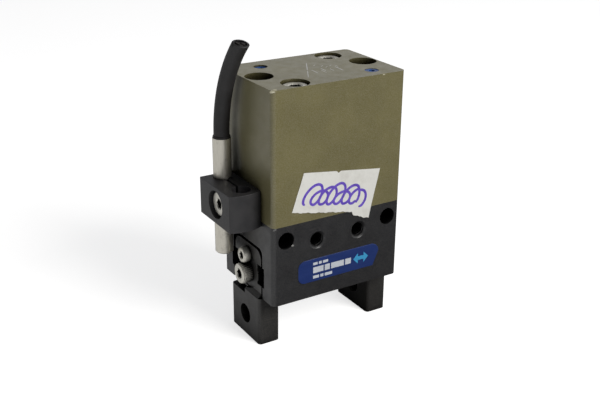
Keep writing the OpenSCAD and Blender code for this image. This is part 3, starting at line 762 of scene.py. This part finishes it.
def sticker_point(u, v, out=0.0):
    """Point of the sticker in metres; u runs left to right, v from the torn edge up, both 0 to 1.

    The top edge has a nick, the right end of the torn edge curls up, and a blister lifts its left part.
    """
    low = along_line(STICKER_LOW, u)
    high = along_line(STICKER_TOP, u)
    x = low[0] + v * (high[0] - low[0])
    z = low[1] + v * (high[1] - low[1])
    tear = 0.07 * math.sin(41 * u) + 0.05 * math.sin(97 * u + 1)
    z += tear * (1 - v) ** 6
    z -= NICK_DEPTH * math.exp(-((u - NICK_AT) / NICK_WIDTH) ** 2) * v ** 8
    ripple = 0.03 * math.sin(9 * u + 2 * v) * math.sin(5 * v + 1) ** 2
    lift = CURL_HEIGHT * max(0, u - CURL_FROM) ** 1.5 * (1 - v) ** 3
    lift += BLISTER_HEIGHT * math.exp(-((u - BLISTER_AT) / BLISTER_WIDTH) ** 2) * (1 - v) ** 5
    away = STICKER_GAP + abs(ripple) + lift + out
    return Vector((x * MM, FRONT_Y - away * MM, SEAM_Z + z * MM))


def build_sticker():
    across, up = 120, 30
    points, faces = [], []
    for layer in (0.0, STICKER_THICK):
        for j in range(up + 1):
            for i in range(across + 1):
                points.append(sticker_point(i / across, j / up, layer))
    row, sheet = across + 1, (across + 1) * (up + 1)
    for j in range(up):
        for i in range(across):
            a = j * row + i
            faces.append([a, a + row, a + row + 1, a + 1])
            faces.append([sheet + a, sheet + a + 1, sheet + a + row + 1, sheet + a + row])
    rim = list(range(across)) + [j * row + across for j in range(up)]
    rim += [up * row + i for i in range(across, 0, -1)] + [j * row for j in range(up, 0, -1)]
    for a, b in zip(rim, rim[1:] + rim[:1]):
        faces.append([a, b, sheet + b, sheet + a])
    sticker = make_piece("paper_sticker", points, faces, "paper", "housing", 60)
    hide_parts("inventory_sticker")


def scrawl(loops, steps=26):
    """Coil of overlapping pen loops from left to right, each of another height, as (u, v) points."""
    heights = (0.5, 0.34, 0.42, 0.5, 0.3, 0.44, 0.36)
    points = []
    for k in range(loops * steps + 1):
        turn = k / steps
        height = heights[min(int(turn), loops - 1)]
        lift = 0.5 * height * (1 - math.cos(math.tau * turn))
        swing = 0.075 * math.sin(math.tau * turn)
        points.append((0.13 + 0.1 * turn - swing + 0.1 * lift, 0.2 + lift))
    return points


def build_marker():
    """Coil that a felt pen scribbled over the sticker, with no letters or digits."""
    half_width, thick = 0.3, 0.014
    path = [sticker_point(u, v, STICKER_THICK + 0.003) for u, v in scrawl(7)]
    last = len(path) - 1
    points, faces = [], []
    for k, p in enumerate(path):
        ahead = path[min(k + 1, last)] - path[max(k - 1, 0)]
        side = ahead.cross(FRONT).normalized()
        taper = min(1, 0.55 + 0.25 * min(k, last - k))
        for s, out in ((-1, 0), (1, 0), (1, 1), (-1, 1)):
            points.append(p + side * s * half_width * taper * MM + FRONT * out * thick * MM)
    for k in range(last):
        a, b = 4 * k, 4 * k + 4
        for i in range(4):
            j = (i + 1) % 4
            faces.append([a + i, a + j, b + j, b + i])
    faces.append([3, 2, 1, 0])
    faces.append([4 * last + i for i in range(4)])
    make_piece("marker_strokes", points, faces, "paper", "housing", 60, "marker")


# ---- scratches, chips and painted glints ----

SCRATCH_SINK, SCRATCH_THICK = 0.01, 0.014
SPOT_RINGS = ((-0.1, 0.24), (0, 0.25), (0.04, 0.2), (0.06, 0.08))


def build_scratches():
    """Bare-metal scratches in the top face: one long and a fan of short ones."""
    lines = [((1.4, 4.8), (-1.8, -0.9), 0.2), ((-1.8, -0.9), (-4.6, -5.8), 0.17)]
    for x, y, length, width in ((-0.9, -0.8, 3.1, 0.22), (0.8, -1.8, 2.8, 0.14), (1.5, -0.7, 2.4, 0.22),
                                (3.0, -1.9, 1.9, 0.18), (4.9, -0.9, 3.7, 0.25), (5.6, 0.2, 1.6, 0.12)):
        lines.append(((x, y), (x - 0.05 * length, y - length), width))
    for x, y in ((3.8, 0.1), (5.1, 0.6), (3.4, 1.2), (2.2, 2.4)):
        lines.append(((x, y), (x - 1.1, y - 0.9), 0.13))
    batch = Batch()
    for (x0, y0), (x1, y1), width in lines:
        length = math.hypot(x1 - x0, y1 - y0)
        turn = Matrix.Rotation(math.atan2(y1 - y0, x1 - x0), 4, "Z")
        place = Matrix.Translation(mm((x0 + x1) / 2, (y0 + y1) / 2, -SCRATCH_SINK)) @ turn
        half = length / 2
        outline = [(-half, 0), (-half * 0.6, -width / 2), (half * 0.7, -width / 2), (half, 0),
                   (half * 0.7, width / 2), (-half * 0.6, width / 2)]
        batch.prism(outline, place, SCRATCH_THICK)
    batch.piece("top_scratches", "olive_anodised", "housing", material="bare_scratch")


def spots(name, slot, material, places):
    """Low flat spots on edges, used for worn chips and for painted glints, as (x, y, z, axis, length,
    width), the last two as factors.
    """
    batch = Batch()
    for x, y, z, axis, length, width in places:
        place = frame_at(mm(x, y, z), axis)
        batch.stack(SPOT_RINGS, place @ Matrix.Diagonal((length, width, 1, 1)), 20)
    batch.piece(name, slot, "housing", material=material)


def build_chips_and_glints():
    """Worn spots on the housing's top edges, the front-left corner one also a painted glint, and painted
    glints on the base's corner and by its side hole.
    """
    left, front, seam = HOUSING_LOW.x / MM, FRONT_Y / MM, SEAM_Z / MM
    # worn spots; the one on the front-left corner also paints the corner's glint
    spots("edge_dings_and_glint", "olive_anodised", "rubbed_olive_and_glint",
          [(left + 0.42, front + 0.3, -0.12, (-0.4, -1, 1), 3.1, 1.3),
           (10.4, front + 0.1, -0.1, (0, -1, 1), 1.7, 0.9)])
    # painted highlights: lighter spots stand in for glints on the base's corner chamfer and on a hole's rim
    spots("base_painted_glints", "black_anodised", "painted_glint_black",
          [(left + 0.55, front + 0.15, seam - 0.3, (-0.5, -0.87, 0), 1.7, 0.8),
           (left + 4.75, front, seam - 4.75, (0, -1, 0), 1.3, 0.9)])


# ---- stage, light and camera ----

# FLOOR_HALF, SIDE_FROM and SIDE_TO are in metres
FLOOR_HALF = 4.0
FLOOR_GLOW = 0.7
SIDE_GLOW = 0.62
SIDE_FROM, SIDE_TO = 0.008, 0.035
HORIZON_GLOW = 0.72
ZENITH_GLOW = 0.16
KEY_WATTS = 3.0


def build_stage():
    """Pale floor that glows for the camera and, on the left, in what the object reflects."""
    mesh = bpy.data.meshes.new("floor")
    corners = [(x * FLOOR_HALF, y * FLOOR_HALF, 0) for x, y in ((-1, -1), (1, -1), (1, 1), (-1, 1))]
    mesh.from_pydata(corners, [], [(0, 1, 2, 3)])
    floor = bpy.data.objects.new("floor", mesh)
    floor.location.z = CAD_BOX[0].z - 0.02 * MM
    bpy.context.scene.collection.objects.link(floor)
    s = Shader("pale_floor")
    seen = s.add("ShaderNodeLightPath").outputs["Is Camera Ray"]
    diffuse = s.add("ShaderNodeBsdfDiffuse", {"Color": s.mix(seen, (0.08, 0.08, 0.08), (0.8, 0.8, 0.8))})
    spot = s.add("ShaderNodeSeparateXYZ", {"Vector": s.add("ShaderNodeNewGeometry").outputs["Position"]})
    mirrored = s.band(s.math("MULTIPLY", spot.outputs["X"], -1), SIDE_FROM, SIDE_TO, 0, SIDE_GLOW)
    lit = s.math("ADD", s.math("MULTIPLY", seen, FLOOR_GLOW),
                 s.math("MULTIPLY", s.math("SUBTRACT", 1.0, seen), mirrored))
    glow = s.add("ShaderNodeEmission", {"Color": (1.0, 1.0, 1.0), "Strength": lit})
    both = s.add("ShaderNodeAddShader")
    s.tree.links.new(diffuse.outputs[0], both.inputs[0])
    s.tree.links.new(glow.outputs[0], both.inputs[1])
    out = s.add("ShaderNodeOutputMaterial")
    s.tree.links.new(both.outputs[0], out.inputs["Surface"])
    mesh.materials.append(s.material)


def area_light(name, place, target, size, power, colour):
    light = bpy.data.lights.new(name, "AREA")
    light.shape = "RECTANGLE"
    light.size, light.size_y = size
    light.energy = power
    light.color = colour
    obj = bpy.data.objects.new(name, light)
    obj.location = place
    obj.rotation_euler = (Vector(target) - Vector(place)).to_track_quat("-Z", "Y").to_euler()
    bpy.context.scene.collection.objects.link(obj)


def set_inputs(node, **values):
    """Sets a node's inputs; a name's underscores stand for spaces."""
    for key, value in values.items():
        node.inputs[key.replace("_", " ")].default_value = value


def build_light():
    """Soft tent, bright round the horizon and dim overhead and on the left, with one softbox in front."""
    world = bpy.data.worlds.new("soft_studio")
    world.use_nodes = True
    tree = world.node_tree
    where = tree.nodes.new("ShaderNodeTexCoord")
    parts = tree.nodes.new("ShaderNodeSeparateXYZ")
    fade = tree.nodes.new("ShaderNodeMapRange")
    fade.interpolation_type = "SMOOTHSTEP"
    tree.links.new(where.outputs["Generated"], parts.inputs["Vector"])
    tree.links.new(parts.outputs["Z"], fade.inputs["Value"])
    set_inputs(fade, From_Min=0.2, From_Max=0.85, To_Min=HORIZON_GLOW, To_Max=ZENITH_GLOW)
    background = tree.nodes["Background"]
    set_inputs(background, Color=(0.96, 0.97, 1.0, 1))
    side = tree.nodes.new("ShaderNodeMapRange")
    tree.links.new(parts.outputs["X"], side.inputs["Value"])
    set_inputs(side, From_Min=-0.9, From_Max=0.3, To_Min=0.1)
    strength = tree.nodes.new("ShaderNodeMath")
    strength.operation = "MULTIPLY"
    tree.links.new(fade.outputs["Result"], strength.inputs[0])
    tree.links.new(side.outputs["Result"], strength.inputs[1])
    tree.links.new(strength.outputs["Value"], background.inputs["Strength"])
    bpy.context.scene.world = world
    area_light("front_softbox", place=(0.2, -0.5, 0.34), target=(0, 0, -0.03), size=(0.3, 0.3),
               power=KEY_WATTS, colour=(1.0, 0.98, 0.95))


# azimuth, elevation and roll in degrees; the place in millimetres
CAMERA_ANGLES = (-31.18, 22.225, 0.312)
CAMERA_PLACE = (-100.94, -160.4, 48.74)
CAMERA_LENS, CAMERA_SENSOR = 55.74, 36
CAMERA_SHIFT = (0.0068, -0.0075)


def build_camera():
    """View from the front left and above."""
    azimuth, elevation, roll = (math.radians(a) for a in CAMERA_ANGLES)
    back = Vector((math.sin(azimuth) * math.cos(elevation), -math.cos(azimuth) * math.cos(elevation),
                   math.sin(elevation)))
    right = Vector((math.cos(azimuth), math.sin(azimuth), 0))
    up = back.cross(right)
    tilted_right = right * math.cos(roll) + up * math.sin(roll)
    tilted_up = up * math.cos(roll) - right * math.sin(roll)
    data = bpy.data.cameras.new("camera")
    data.lens = CAMERA_LENS
    data.sensor_width = CAMERA_SENSOR
    data.shift_x, data.shift_y = CAMERA_SHIFT
    data.clip_start = 0.01
    data.clip_end = 20
    camera = bpy.data.objects.new("camera", data)
    turn = Matrix((tilted_right, tilted_up, back)).transposed().to_4x4()
    camera.matrix_world = Matrix.Translation(mm(*CAMERA_PLACE)) @ turn
    bpy.context.scene.collection.objects.link(camera)
    bpy.context.scene.camera = camera


def write_sizes():
    """Updates the view layer."""
    bpy.context.view_layer.update()


dress_cad_nodes()
build_screws()
build_spring()
build_cable()
build_threads()
build_label()
build_sticker()
build_marker()
build_scratches()
build_chips_and_glints()
build_stage()
build_light()
build_camera()
bpy.context.scene.view_settings.view_transform = "Standard"
write_sizes()
